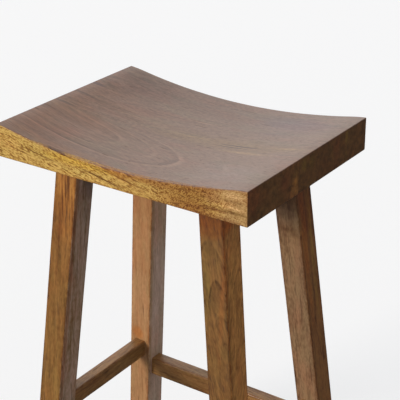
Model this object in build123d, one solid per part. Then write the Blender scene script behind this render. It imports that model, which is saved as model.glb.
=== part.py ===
"""Wooden bar stool: a thick seat, dished from end to end, on four square legs that lean out both ways.

Four rails tie the legs near the floor. All sizes are in millimetres. The origin is on the floor, midway
between the legs. X runs along the long side of the seat, Y from the front to the back, and Z is up.
The stool is symmetric, so what stands in its corners is made once, at the back right, and mirrored.
"""

import math
import os

from build123d import *

# Overall sizes: the seat's long side, its short side, and the height of its end corners.
seat_length = 450.0
seat_depth = 332.0
seat_height = 750.0

# Seat: three staves glued edge to edge, with a dish cut across their top.
seat_end_thickness = 53.0
front_stave_width = 132.0
back_stave_width = 104.0
seat_corner_radius = 2.0
seat_arris_radius = 1.5
dish_depth = 23.0
shoulder_length = 30.0
shoulder_drop = 4.3

# Legs: square stock. The insets run from the seat's outline to the leg's outer faces, at the seat and
# at the floor.
leg_width = 42.0
leg_depth = 44.0
leg_arris_radius = 2.0
leg_foot_chamfer = 1.5
leg_inset_end = 74.0
leg_inset_side = 49.0
foot_inset = 3.0

# Rails: the front and back ones are low enough to rest the feet on, and the side ones pass above them.
long_rail_height = 198.0
long_rail_depth = 36.0
long_rail_thickness = 24.0
side_rail_height = 240.0
side_rail_depth = 34.0
side_rail_thickness = 22.0
rail_arris_radius = 2.5

# Stub tenons on the rails' ends, in blind mortises in the legs.
tenon_length = 26.0
tenon_depth = 24.0
tenon_thickness = 12.0
tenon_glue_line = 0.1
mortise_relief = 1.0

# Two fluted dowels hold each leg to the seat.
dowel_diameter = 12.0
dowel_spacing = 20.0
dowel_in_seat = 22.0
dowel_in_leg = 26.0
dowel_chamfer = 1.2
dowel_glue_line = 0.1
dowel_hole_relief = 1.5
flute_count = 10
flute_radius = 0.6

# Glides: a plastic pad under each leg, held by a steel nail whose head is moulded into it.
glide_diameter = 24.0
glide_thickness = 4.0
glide_rim_radius = 1.2
nail_head_diameter = 9.0
nail_head_thickness = 1.2
nail_head_cover = 1.3
nail_shank_diameter = 2.6
nail_shank_length = 16.5
nail_point_length = 3.5
nail_clearance = 0.05

# How far a cutting shape runs past what it cuts.
overrun = 10.0

# What follows from the sizes above.
underside_height = seat_height - seat_end_thickness
foot_x = seat_length / 2 - foot_inset - leg_width / 2
foot_y = seat_depth / 2 - foot_inset - leg_depth / 2
leg_rise = underside_height - glide_thickness
lean_x = (leg_inset_end - foot_inset) / leg_rise
lean_y = (leg_inset_side - foot_inset) / leg_rise


def leg_x(height):
    """How far a leg's axis stands from the stool's middle along X, at a height above the floor."""
    return foot_x - lean_x * (height - glide_thickness)


def leg_y(height):
    """How far a leg's axis stands from the stool's middle along Y, at a height above the floor."""
    return foot_y - lean_y * (height - glide_thickness)


def in_each_corner(shape):
    """The back right corner's shape and its mirror images, by the names of the corners."""
    left = mirror(shape, about=Plane.YZ)
    return {
        "back_right": shape,
        "back_left": left,
        "front_right": mirror(shape, about=Plane.XZ),
        "front_left": mirror(left, about=Plane.XZ),
    }


def seat_profile():
    """The seat seen from the front: flat below, with a hollow above that eases into a shoulder at each end."""
    end = seat_length / 2
    dish_end = end - shoulder_length
    dish_edge_height = seat_height - shoulder_drop
    dish = ThreePointArc(
        (-dish_end, dish_edge_height), (0, seat_height - dish_depth), (dish_end, dish_edge_height)
    )
    right_shoulder = TangentArc(dish @ 1, (end, seat_height), tangent=dish % 1)
    left_shoulder = TangentArc(dish @ 0, (-end, seat_height), tangent=-(dish % 0))
    lower_edges = Polyline(
        (-end, seat_height), (-end, underside_height), (end, underside_height), (end, seat_height)
    )
    return make_face([dish, right_shoulder, left_shoulder, lower_edges])


def seat_blank():
    """The seat in one, with its upright corners and all the edges round its rim rounded."""
    blank = extrude(Plane.XZ * seat_profile(), amount=seat_depth / 2, both=True)
    blank = fillet(blank.edges().filter_by(Axis.Z), seat_corner_radius)
    shoulder_start = (seat_length - shoulder_length) / 2
    shoulder_lines = blank.edges().filter_by(Axis.Y)
    shoulder_lines = shoulder_lines.filter_by_position(Axis.X, -shoulder_start, shoulder_start)
    rim = blank.edges() - blank.edges().filter_by(Axis.Z) - shoulder_lines
    return fillet(rim, seat_arris_radius)


def seat_staves():
    """The seat's three staves by name, bored for the dowels of the legs."""
    seat = seat_blank()
    for holes in in_each_corner(dowel_holes()).values():
        seat -= holes
    front_edge = -seat_depth / 2
    back_edge = seat_depth / 2
    front_joint = front_edge + front_stave_width
    back_joint = back_edge - back_stave_width
    return {
        "seat_front_stave": seat & stave_slab(front_edge - overrun, front_joint),
        "seat_middle_stave": seat & stave_slab(front_joint, back_joint),
        "seat_back_stave": seat & stave_slab(back_joint, back_edge + overrun),
    }


def stave_slab(near, far):
    """A slab that takes in all of the seat between two places along Y."""
    slab = Box(seat_length + overrun, far - near, seat_end_thickness + overrun)
    return Pos(0, (near + far) / 2, underside_height + seat_end_thickness / 2) * slab


def dowel_pair(one):
    """A dowel or hole, put in both of its places at the top of a leg. Its zero height is the seat's underside."""
    centre = Pos(leg_x(underside_height), leg_y(underside_height), underside_height)
    return Part() + [centre * Pos(0, offset, 0) * one for offset in (-dowel_spacing / 2, dowel_spacing / 2)]


def seat_dowels():
    """The two dowels of a leg, with chamfered ends and flutes that let the glue out."""
    length = dowel_in_leg + dowel_in_seat
    rod = chamfer(extrude(Circle(dowel_diameter / 2), amount=length).edges(), dowel_chamfer)
    flute = Pos(dowel_diameter / 2, 0, 0) * extrude(Circle(flute_radius), amount=length)
    rod -= [Rot(0, 0, turn * 360 / flute_count) * flute for turn in range(flute_count)]
    return dowel_pair(Pos(0, 0, -dowel_in_leg) * rod)


def dowel_holes():
    """The holes of a leg's two dowels, through the joint: a little wide for glue and a little deep."""
    bottom = dowel_in_leg + dowel_hole_relief
    length = bottom + dowel_in_seat + dowel_hole_relief
    hole = extrude(Circle(dowel_diameter / 2 + dowel_glue_line), amount=length)
    return dowel_pair(Pos(0, 0, -bottom) * hole)


def back_rail_place(height):
    """Half the clear span between the back legs at a height, and how far out the back rail lies there."""
    return leg_x(height) - leg_width / 2, leg_y(height)


def side_rail_place(height):
    """The same for a side rail, which is made along X and then turned."""
    return leg_y(height) - leg_depth / 2, leg_x(height)


def rail_bar(place, height, depth, thickness, past_shoulders=0.0):
    """A bar between two legs. Its faces and its ends lean with them, and it can run on into both."""
    low = height - depth / 2
    high = height + depth / 2
    low_span, low_offset = place(low)
    high_span, high_offset = place(high)
    end_view = Polygon(
        (low_offset - thickness / 2, low),
        (low_offset + thickness / 2, low),
        (high_offset + thickness / 2, high),
        (high_offset - thickness / 2, high),
        align=None,
    )
    front_view = Polygon(
        (-low_span - past_shoulders, low),
        (low_span + past_shoulders, low),
        (high_span + past_shoulders, high),
        (-high_span - past_shoulders, high),
        align=None,
    )
    reach = seat_length / 2 + overrun
    along = extrude(Plane.YZ * end_view, amount=reach, both=True)
    return along & extrude(Plane.XZ * front_view, amount=reach, both=True)


def rail(place, height, depth, thickness):
    """A rail with rounded long edges and a stub tenon on each end."""
    bar = rail_bar(place, height, depth, thickness)
    bar = fillet(bar.edges().filter_by(Axis.X), rail_arris_radius)
    return bar + rail_bar(place, height, tenon_depth, tenon_thickness, tenon_length)


def mortise(place, height):
    """What is cut from the legs for a rail's tenons."""
    return rail_bar(
        place,
        height,
        tenon_depth + 2 * tenon_glue_line,
        tenon_thickness + 2 * tenon_glue_line,
        tenon_length + mortise_relief,
    )


def turned_to_side(shape):
    """A shape that was made along X at the back, turned to run along Y on the right."""
    return Rot(0, 0, -90) * shape


def rails():
    """The four rails by name."""
    back = rail(back_rail_place, long_rail_height, long_rail_depth, long_rail_thickness)
    right = turned_to_side(rail(side_rail_place, side_rail_height, side_rail_depth, side_rail_thickness))
    return {
        "back_rail": back,
        "front_rail": mirror(back, about=Plane.XZ),
        "right_rail": right,
        "left_rail": mirror(right, about=Plane.YZ),
    }


def leg():
    """A leg, cut level at both ends, with its mortises, its dowel holes and its glide's nail hole."""
    section = RectangleRounded(leg_width, leg_depth, leg_arris_radius)
    along = Vector(-lean_x, -lean_y, 1) * leg_rise
    shape = extrude(Pos(foot_x, foot_y, glide_thickness) * section, amount=along.length, dir=along)
    shape = chamfer(shape.faces().sort_by(Axis.Z)[0].edges(), leg_foot_chamfer)
    shape -= dowel_holes()
    shape -= mortise(back_rail_place, long_rail_height)
    shape -= turned_to_side(mortise(side_rail_place, side_rail_height))
    return shape - glide_nail(nail_clearance)


def glide():
    """The pad under a leg, with its lower rim rounded and room inside for its nail."""
    pad = extrude(Circle(glide_diameter / 2), amount=glide_thickness)
    pad = fillet(pad.edges().sort_by(Axis.Z)[0], glide_rim_radius)
    return Pos(foot_x, foot_y, 0) * pad - glide_nail(nail_clearance)


def glide_nail(clearance=0.0):
    """The nail of a glide, point up in the leg, or the room that it needs with a clearance all round."""
    shank_radius = nail_shank_diameter / 2 + clearance
    head_thickness = nail_head_thickness + 2 * clearance
    head = Pos(0, 0, -clearance) * extrude(
        Circle(nail_head_diameter / 2 + clearance), amount=head_thickness
    )
    shank = Pos(0, 0, nail_head_thickness) * extrude(Circle(shank_radius), amount=nail_shank_length)
    point = Pos(0, 0, nail_head_thickness + nail_shank_length) * Cone(
        shank_radius, 0, nail_point_length + clearance, align=(Align.CENTER, Align.CENTER, Align.MIN)
    )
    return Pos(foot_x, foot_y, nail_head_cover) * (head + shank + point)


def corner_pieces():
    """What stands in every corner, by name and corner."""
    made = {"leg": leg(), "seat_dowels": seat_dowels(), "glide": glide(), "glide_nail": glide_nail()}
    return {
        f"{name}_{corner}": copy
        for name, piece in made.items()
        for corner, copy in in_each_corner(piece).items()
    }


os.makedirs("parts", exist_ok=True)
for node, solid in {**seat_staves(), **corner_pieces(), **rails()}.items():
    export_step(solid, f"parts/{node}.step")
print("A leg leans", round(math.degrees(math.atan(lean_x)), 1), "degrees along X")
print("and", round(math.degrees(math.atan(lean_y)), 1), "degrees along Y.")
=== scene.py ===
# %% [markdown]
# # A wooden bar stool
#
# The real stool is made of solid, lacquered hardwood. Its seat is glued up from three staves and hollowed
# from end to end, and it stands on four legs that lean outwards, tied by four rails near the floor.
# This notebook dresses the measured solids of that stool for a picture. The sizes are already settled, so
# the first thing to do is to load them. Everything here is in metres, with X along the long side of the
# seat, Y from the front to the back and Z up.

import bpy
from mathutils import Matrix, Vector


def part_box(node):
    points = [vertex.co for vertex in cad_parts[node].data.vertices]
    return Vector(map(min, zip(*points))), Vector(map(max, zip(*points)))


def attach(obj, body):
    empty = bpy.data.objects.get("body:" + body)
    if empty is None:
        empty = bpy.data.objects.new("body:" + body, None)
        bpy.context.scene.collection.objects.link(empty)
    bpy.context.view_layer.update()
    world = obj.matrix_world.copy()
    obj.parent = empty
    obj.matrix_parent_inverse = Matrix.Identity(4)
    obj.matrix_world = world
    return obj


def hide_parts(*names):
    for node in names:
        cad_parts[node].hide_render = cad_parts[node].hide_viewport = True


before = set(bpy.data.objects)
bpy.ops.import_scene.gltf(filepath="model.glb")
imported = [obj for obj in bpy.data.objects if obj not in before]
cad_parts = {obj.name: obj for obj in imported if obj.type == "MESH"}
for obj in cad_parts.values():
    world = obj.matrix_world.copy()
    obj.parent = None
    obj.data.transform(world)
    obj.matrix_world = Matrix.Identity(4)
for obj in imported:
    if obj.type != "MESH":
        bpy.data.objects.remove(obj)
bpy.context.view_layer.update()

# %% [markdown]
# The rest of the notebook needs Blender's own modules, a few functions from mathutils, and json to write
# down the size of the finished model. One millimetre gets a name, because furniture is measured in them.

# %% Modules and the unit
import math

import bmesh
import bpy
from mathutils import Matrix, Quaternion, Vector, noise

MM = 0.001
scene = bpy.context.scene

# %% [markdown]
# ## Where the camera stands
#
# The stool is seen from its front right, from a little above the seat. A camera could be placed by hand,
# but here its place, its aim and its slight tilt are known numbers, so it is put there directly: a
# quaternion turns its -Z axis towards the target, and a second one rolls it about that axis. A long lens
# keeps the legs nearly parallel, as a product picture does.

# %% Camera
CAMERA_PLACE = Vector((1.002585, -1.384517, 1.400250))
CAMERA_TARGET = Vector((0.021606, 0.015120, 0.617734))
CAMERA_ROLL = math.radians(0.466)
CAMERA_LENS = 109.1

camera_data = bpy.data.cameras.new("studio_camera")
camera_data.lens = CAMERA_LENS
camera_data.clip_start = 0.05
camera_data.clip_end = 200
camera = bpy.data.objects.new("studio_camera", camera_data)
scene.collection.objects.link(camera)
aim = (CAMERA_TARGET - CAMERA_PLACE).to_track_quat("-Z", "Y")
camera.rotation_mode = "QUATERNION"
camera.rotation_quaternion = aim @ Quaternion((0, 0, 1), -CAMERA_ROLL)
camera.location = CAMERA_PLACE
scene.camera = camera
print("the camera is", round((CAMERA_TARGET - CAMERA_PLACE).length, 2), "m from the stool")

# %% [markdown]
# ## Sizes that the pieces share
#
# The boxes of the measured solids give most sizes. Only what a box can't tell is written out again: the
# depth of the hollow, the shoulders at its ends, and how far each edge is rounded over.

# %% Sizes
SEAT_LOW, SEAT_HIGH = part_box("seat_front_stave")
SEAT_END = SEAT_HIGH.x
SEAT_SIDE = -SEAT_LOW.y
UNDERSIDE = SEAT_LOW.z
SEAT_TOP = SEAT_HIGH.z
FRONT_JOINT = SEAT_HIGH.y
BACK_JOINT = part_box("seat_back_stave")[0].y
DISH_DEPTH = 23 * MM
SHOULDER_LENGTH = 30 * MM
SHOULDER_DROP = 4.3 * MM
SEAT_CORNER = 2 * MM
SEAT_ARRIS = 1.5 * MM
LEG_ARRIS = 2 * MM
RAIL_ARRIS = 2.5 * MM
FOOT_CHAMFER = 1.5 * MM
print("seat", round(2 * SEAT_END / MM), "by", round(2 * SEAT_SIDE / MM), "mm, joints at y =",
      round(FRONT_JOINT / MM), "and", round(BACK_JOINT / MM))

# %% [markdown]
# ## Bars made of rings
#
# Every stick and stave of the stool is a bar: rings of corners set one after another along its length,
# joined by faces and closed at both ends. A scaled cube would be quicker, but it has no cuts along its
# length, so it could neither bend into the hollow of the seat nor carry worn edges. Rings made in bmesh
# give exactly the cuts that each piece needs.

# %% Build a bar from rings
def ring_bar(rings):
    """A closed bar as a bmesh. Each ring is a list of corners in the same turning sense."""
    bar = bmesh.new()
    made = [[bar.verts.new(corner) for corner in ring] for ring in rings]
    count = len(rings[0])
    for near, far in zip(made, made[1:]):
        for i in range(count):
            j = (i + 1) % count
            bar.faces.new((near[i], near[j], far[j], far[i]))
    bar.faces.new(made[0][::-1])
    bar.faces.new(made[-1])
    bmesh.ops.recalc_face_normals(bar, faces=bar.faces)
    return bar


# %% [markdown]
# A plane leaves an edge sharp; sandpaper takes it off. The bevel tool does the same to a mesh. It gets the
# edges that a test picks, so one helper serves the upright corners, the long arrises and the feet.

# %% Round edges over
SHARP = math.radians(55)
TOUCHING = 0.1 * MM


def round_over(bar, wanted, radius, segments):
    """Rounds the bar's sharp edges for which wanted(edge) is true."""
    edges = [e for e in bar.edges if e.calc_face_angle(0) > SHARP and wanted(e)]
    bmesh.ops.bevel(bar, geom=edges, offset=radius, segments=segments, profile=0.5, affect="EDGES")


def span_of(edge):
    """The step from one end of an edge to the other."""
    return edge.verts[1].co - edge.verts[0].co


def is_upright(edge):
    """True for an edge that runs straight up."""
    return span_of(edge).xy.length < TOUCHING


# %% [markdown]
# ## What each point of the wood knows
#
# Wood isn't painted on: the same rings and pores run through the whole board and come out on every face.
# So each vertex stores where it lies in the log that the board was sawn from, as an attribute that the
# materials read. Two more attributes store how far the vertex is from the low and the high faces of its
# piece, which later tells the materials where the arrises are.

# %% Write attributes
def write_vectors(mesh, name, vectors):
    """Stores a vector for each vertex under a name that a material can read."""
    attribute = mesh.attributes.new(name, "FLOAT_VECTOR", "POINT")
    attribute.data.foreach_set("vector", [value for vector in vectors for value in vector])


def log_frame(pith, along, lift):
    """The turn from the stool's axes into a log whose pith passes through a point in a direction."""
    x = Vector(along).normalized()
    z = (Vector(lift) - x * x.dot(Vector(lift))).normalized()
    turn = Matrix((x, z.cross(x), z))
    return lambda point: turn @ (point - Vector(pith))


# %% [markdown]
# Years of use take a little off the edges, here more and there less. The vertices that lie right on an
# arris are pushed inwards by some slow noise, at most a few tenths of a millimetre. It is far too little
# to see as a shape, but the highlight along each edge wavers as it does on real furniture. Where a piece
# ends against another there is no arris to wear, and the distance from that face is given as one metre.

# %% Soften the arrises
WEAR_DEPTH = 0.35 * MM
WEAR_LENGTH = 40 * MM
ARRIS_BAND = (0.2 * MM, 2.2 * MM)
NO_ARRIS = 1.0


def wear_arrises(bar, insets):
    """Pushes the vertices on the arrises in by a slow noise. insets(point) gives the six face distances."""
    bar.normal_update()
    for vertex in bar.verts:
        low, high = insets(vertex.co)
        near = sorted(min(pair) for pair in zip(low, high))
        if ARRIS_BAND[0] < near[1] < ARRIS_BAND[1]:
            amount = 0.5 + 0.5 * noise.noise(vertex.co / WEAR_LENGTH)
            vertex.co -= vertex.normal * WEAR_DEPTH * max(0, amount)


# %% [markdown]
# Every piece ends in the same way: its bmesh becomes an object, takes its attributes and is shaded smooth.
# Shading alone would make the flat faces look pillowed beside their small bevels. Weighted normals let the
# large faces win, so they stay flat and only the arrises turn. Then the piece takes the place of its solid.

# %% Finish a piece
SMOOTH_UP_TO = math.radians(44)
FLATNESS = 90


def finish_piece(name, bar, insets, log, node):
    """Turns a bmesh into an object with its attributes, smooth shading and its place in the stool."""
    wear_arrises(bar, insets)
    mesh = bpy.data.meshes.new(name)
    bar.to_mesh(mesh)
    bar.free()
    write_vectors(mesh, "grain", [log(vertex.co) for vertex in mesh.vertices])
    for number, attribute in enumerate(("from_low", "from_high")):
        write_vectors(mesh, attribute, [insets(vertex.co)[number] for vertex in mesh.vertices])
    mesh.shade_smooth()
    mesh.set_sharp_from_angle(angle=SMOOTH_UP_TO)
    piece = bpy.data.objects.new(name, mesh)
    scene.collection.objects.link(piece)
    weighted = piece.modifiers.new("flat_faces_stay_flat", "WEIGHTED_NORMAL")
    weighted.weight = FLATNESS
    weighted.keep_sharp = True
    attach(piece, "root")
    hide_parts(node)
    print(name, "has", len(mesh.vertices), "vertices")
    return piece


# %% [markdown]
# ## The hollowed seat
#
# The top of the seat is one shallow arc from shoulder to shoulder. At the shoulders it turns the other way
# and runs out nearly level, which saves the sitter from a hard edge. The height is a function of the place
# along the seat alone, so the same function shapes all three staves.

# %% The hollow as a function
DISH_END = SEAT_END - SHOULDER_LENGTH
DISH_RISE = DISH_DEPTH - SHOULDER_DROP
DISH_RADIUS = (DISH_END ** 2 + DISH_RISE ** 2) / (2 * DISH_RISE)
DISH_SLOPE = DISH_END / math.sqrt(DISH_RADIUS ** 2 - DISH_END ** 2)
END_SLOPE = 2 * SHOULDER_DROP / SHOULDER_LENGTH - DISH_SLOPE


def hollow(x):
    """The height of the seat's top at a place along it."""
    inner = min(abs(x), DISH_END)
    over = abs(x) - inner
    arc = DISH_RADIUS - math.sqrt(DISH_RADIUS ** 2 - inner ** 2)
    shoulder = DISH_SLOPE * over + (END_SLOPE - DISH_SLOPE) / SHOULDER_LENGTH * over ** 2 / 2
    return SEAT_TOP - DISH_DEPTH + arc + shoulder


print("the hollow has a radius of", round(DISH_RADIUS / MM), "mm")

# %% [markdown]
# ## The staves
#
# Each stave is a bar along X with a ring every few millimetres, and the hollow gives the upper corners of
# each ring. The upright corners at the seat's ends are rounded first and the rim after that, which is the
# order in which a maker works too. The two glued edges stay sharp, because they were planed to meet.

# %% Build the staves
STAVE_STEPS = 60
FIRST_CUT = 9 * MM


def stave_rings(near, far):
    """Rings of a stave between two places along Y."""
    inner = SEAT_END - FIRST_CUT
    cuts = [-SEAT_END] + [inner * (2 * i / STAVE_STEPS - 1) for i in range(STAVE_STEPS + 1)] + [SEAT_END]
    return [
        [Vector((x, near, UNDERSIDE)), Vector((x, far, UNDERSIDE)),
         Vector((x, far, hollow(x))), Vector((x, near, hollow(x)))]
        for x in cuts
    ]


def seat_insets(point):
    """How far a point of the seat is from the seat's low faces and from its high faces."""
    low = Vector((point.x + SEAT_END, point.y + SEAT_SIDE, point.z - UNDERSIDE))
    high = Vector((SEAT_END - point.x, SEAT_SIDE - point.y, hollow(point.x) - point.z))
    return low, high


def on_joint(edge):
    """True for an edge that lies in one of the two glued joints."""
    return any(
        all(abs(vertex.co.y - joint) < TOUCHING for vertex in edge.verts)
        for joint in (FRONT_JOINT, BACK_JOINT)
    )


def stave(name, near, far, log, node):
    """One stave of the seat."""
    bar = ring_bar(stave_rings(near, far))
    round_over(bar, lambda e: is_upright(e) and not on_joint(e), SEAT_CORNER, 5)
    round_over(bar, lambda e: not is_upright(e) and not on_joint(e), SEAT_ARRIS, 4)
    return finish_piece(name, bar, seat_insets, log, node)


# %% [markdown]
# The three staves come from different logs. The front one was sawn so that the fibres dip to the right,
# and the rings come out as long nested arches on the top and as slanting streaks on the front. In the
# other two, the fibres run nearly level, so their rings draw almost straight lines.

# %% The three staves
UP = (0, 0, 1)
DIP = math.radians(10)
front_log = log_frame((-0.300, -0.047, 0.721), (math.cos(DIP), -0.144, -math.sin(DIP)), UP)
middle_log = log_frame((0.10, 0.062, 0.560), (1, 0.035, -0.040), UP)
back_log = log_frame((0.00, 0.190, 0.610), (1, -0.020, 0.030), UP)
staves = {
    "front": stave("front_stave", -SEAT_SIDE, FRONT_JOINT, front_log, "seat_front_stave"),
    "middle": stave("middle_stave", FRONT_JOINT, BACK_JOINT, middle_log, "seat_middle_stave"),
    "back": stave("back_stave", BACK_JOINT, SEAT_SIDE, back_log, "seat_back_stave"),
}

# %% [markdown]
# ## The legs
#
# A leg is straight and square, but it leans both ways and is cut level at both ends. Seen from above, each
# level slice of it is the same square, moved a little further out towards the floor. So a leg is a stack
# of level rings, and its lean is measured from the middle of its foot and the middle of its top.

# %% Where a leg's axis runs
LEG_LOW, LEG_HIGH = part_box("leg_back_right")
LEG_WIDTH = 42 * MM
LEG_DEPTH = 44 * MM
FOOT_HEIGHT = LEG_LOW.z
FOOT_AXIS = LEG_HIGH.xy - Vector((LEG_WIDTH, LEG_DEPTH)) / 2
HEAD_AXIS = LEG_LOW.xy + Vector((LEG_WIDTH, LEG_DEPTH)) / 2
LEG_RISE = UNDERSIDE - FOOT_HEIGHT
LEAN = (FOOT_AXIS - HEAD_AXIS) / LEG_RISE


def leg_axis(height):
    """How far out a leg's axis stands along X and along Y at a height."""
    return FOOT_AXIS - LEAN * (height - FOOT_HEIGHT)


print("a leg leans", round(math.degrees(math.atan(LEAN.x)), 1), "degrees along X and",
      round(math.degrees(math.atan(LEAN.y)), 1), "along Y")

# %% [markdown]
# The four legs are alike in shape but not in figure, because no two sticks of wood are. Each gets its own
# place in a log. Near the pith the rings curve tightly and draw flames and arches on the faces; far away
# from it they are plain lines.

# %% Build the legs
LEG_STEPS = 56


def leg_insets(side_x, side_y):
    """For a leg on one side of the stool, a function that gives a point's distance from its faces."""
    def insets(point):
        axis = leg_axis(point.z)
        across = point.x * side_x - axis.x
        through = point.y * side_y - axis.y
        low = Vector((across + LEG_WIDTH / 2, through + LEG_DEPTH / 2, point.z - FOOT_HEIGHT))
        high = Vector((LEG_WIDTH / 2 - across, LEG_DEPTH / 2 - through, NO_ARRIS))
        return low, high
    return insets


def leg(corner, side_x, side_y, pith, drift):
    """The leg in one corner. pith is the log's middle seen from the leg's head, drift how it wanders off."""
    rings = []
    for i in range(LEG_STEPS + 1):
        height = FOOT_HEIGHT + LEG_RISE * i / LEG_STEPS
        axis = leg_axis(height)
        middle = Vector((side_x * axis.x, side_y * axis.y, height))
        rings.append([
            middle + Vector((x * LEG_WIDTH / 2, y * LEG_DEPTH / 2, 0))
            for x, y in ((-1, -1), (1, -1), (1, 1), (-1, 1))
        ])
    bar = ring_bar(rings)
    round_over(bar, lambda e: abs(span_of(e).z) > 1 * MM, LEG_ARRIS, 4)
    round_over(bar, lambda e: max(v.co.z for v in e.verts) < FOOT_HEIGHT + TOUCHING, FOOT_CHAMFER, 1)
    head = Vector((side_x * HEAD_AXIS.x, side_y * HEAD_AXIS.y, UNDERSIDE))
    down = Vector((side_x * LEAN.x + drift[0], side_y * LEAN.y + drift[1], -1))
    log = log_frame(head + Vector(pith), down, (0, -1, 0))
    insets = leg_insets(side_x, side_y)
    return finish_piece(f"{corner}_leg", bar, insets, log, f"leg_{corner}")


legs = {
    "front_left": leg("front_left", -1, -1, (0.030, 0.060, 0), (0.06, 0.05)),
    "back_left": leg("back_left", -1, 1, (-0.015, 0.085, 0), (0.02, 0.03)),
    "front_right": leg("front_right", 1, -1, (-0.019, 0.034, 0), (0.16, -0.16)),
    "back_right": leg("back_right", 1, 1, (0.060, 0.040, 0), (-0.03, 0.02)),
}

# %% [markdown]
# ## The rails
#
# The rails tie the legs and keep them from spreading. Their faces lean with the legs, and so do their
# ends, which sit tightly against them. A rail is therefore a stack of upright rings between two leaning
# legs, each ring a little wider at the bottom than at the top.

# %% Where the rails run
RAIL_STEPS = 24


def long_span(height):
    """Half the clear width between the legs along X, and where the long rails lie along Y."""
    axis = leg_axis(height)
    return axis.x - LEG_WIDTH / 2, axis.y


def side_span(height):
    """Half the clear width between the legs along Y, and where the side rails lie along X."""
    axis = leg_axis(height)
    return axis.y - LEG_DEPTH / 2, axis.x


LONG_RAIL = {"height": 198 * MM, "depth": 36 * MM, "thickness": 24 * MM, "span": long_span, "along": 0}
SIDE_RAIL = {"height": 240 * MM, "depth": 34 * MM, "thickness": 22 * MM, "span": side_span, "along": 1}
for rail_size in (LONG_RAIL, SIDE_RAIL):
    print("a rail at", round(rail_size["height"] / MM), "mm spans",
          round(2 * rail_size["span"](rail_size["height"])[0] / MM), "mm")

# %% [markdown]
# One function makes all four rails. It works with the place along the rail and the place across it, and
# only at the end says which of them is X and which is Y. The log of each rail runs nearly along it, because
# a rail with slanting grain would split.

# %% Build the rails
def rail_insets(size, side):
    """For one rail, a function that gives a point's distance from its faces."""
    def insets(point):
        out = point[1 - size["along"]] * side - size["span"](point.z)[1]
        half = size["thickness"] / 2
        bottom = size["height"] - size["depth"] / 2
        low = Vector((NO_ARRIS, out + half, point.z - bottom))
        high = Vector((NO_ARRIS, half - out, bottom + size["depth"] - point.z))
        return low, high
    return insets


def rail(name, size, side, log, node):
    """A rail between two legs, on one side of the stool."""
    rings = []
    for i in range(RAIL_STEPS + 1):
        ring = []
        for up, out in ((-1, -1), (-1, 1), (1, 1), (1, -1)):
            height = size["height"] + up * size["depth"] / 2
            half, offset = size["span"](height)
            along = half * (2 * i / RAIL_STEPS - 1)
            across = side * (offset + out * size["thickness"] / 2)
            ring.append(Vector((across, along, height) if size["along"] else (along, across, height)))
        rings.append(ring)
    bar = ring_bar(rings)
    half_step = size["span"](size["height"] - size["depth"] / 2)[0] / RAIL_STEPS
    round_over(bar, lambda e: abs(span_of(e)[size["along"]]) > half_step, RAIL_ARRIS, 4)
    return finish_piece(name, bar, rail_insets(size, side), log, node)


rails = {
    "front": rail("front_foot_rail", LONG_RAIL, -1,
                  log_frame((0, -0.20, 0.13), (1, 0.05, 0.03), UP), "front_rail"),
    "back": rail("back_foot_rail", LONG_RAIL, 1,
                 log_frame((0, 0.06, 0.17), (1, -0.04, 0.02), UP), "back_rail"),
    "right": rail("right_side_rail", SIDE_RAIL, 1,
                  log_frame((0.11, 0, 0.20), (0.03, 1, 0.04), UP), "right_rail"),
    "left": rail("left_side_rail", SIDE_RAIL, -1,
                 log_frame((-0.14, 0, 0.30), (-0.05, 1, 0.02), UP), "left_rail"),
}

# %% [markdown]
# ## Shader groups
#
# All the wood shares a few effects: growth rings, fibres with pores, short dashes, drifting stain, worn
# arrises, soft patches and faces of another tone. Each is built once as a node group with named sockets,
# and every wood material places the group with its own values. Nodes could be added and linked one by one
# with Blender's own calls, but that takes four lines a node. A small class does it in one.

# %% Add a node and feed it
NODE_STEP = (180, -220)
NODES_IN_ROW = 12


class Tree:
    """A node tree that nodes are added to."""

    def __init__(self, tree):
        self.tree = tree

    def feed(self, sockets, values):
        """Feeds sockets, by name or by number, with other nodes' outputs or with plain values."""
        for key, value in values.items():
            if isinstance(value, bpy.types.NodeSocket):
                self.tree.links.new(value, sockets[key])
            else:
                sockets[key].default_value = value

    def add(self, kind, inputs=None, **settings):
        """Adds a node of a kind, with its settings and its inputs."""
        row, column = divmod(len(self.tree.nodes), NODES_IN_ROW)
        node = self.tree.nodes.new("ShaderNode" + kind)
        node.location = (column * NODE_STEP[0], row * NODE_STEP[1])
        for name, value in settings.items():
            setattr(node, name, value)
        self.feed(node.inputs, inputs or {})
        return node


# %% [markdown]
# A second class adds short ways to the nodes that come up again and again. Each of them hands on the
# node's output, so that one can be written inside the other, and the groups below read like recipes.

# %% Short ways to the most common nodes
HAS_VALUE = ("LENGTH", "DOT_PRODUCT")


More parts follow.
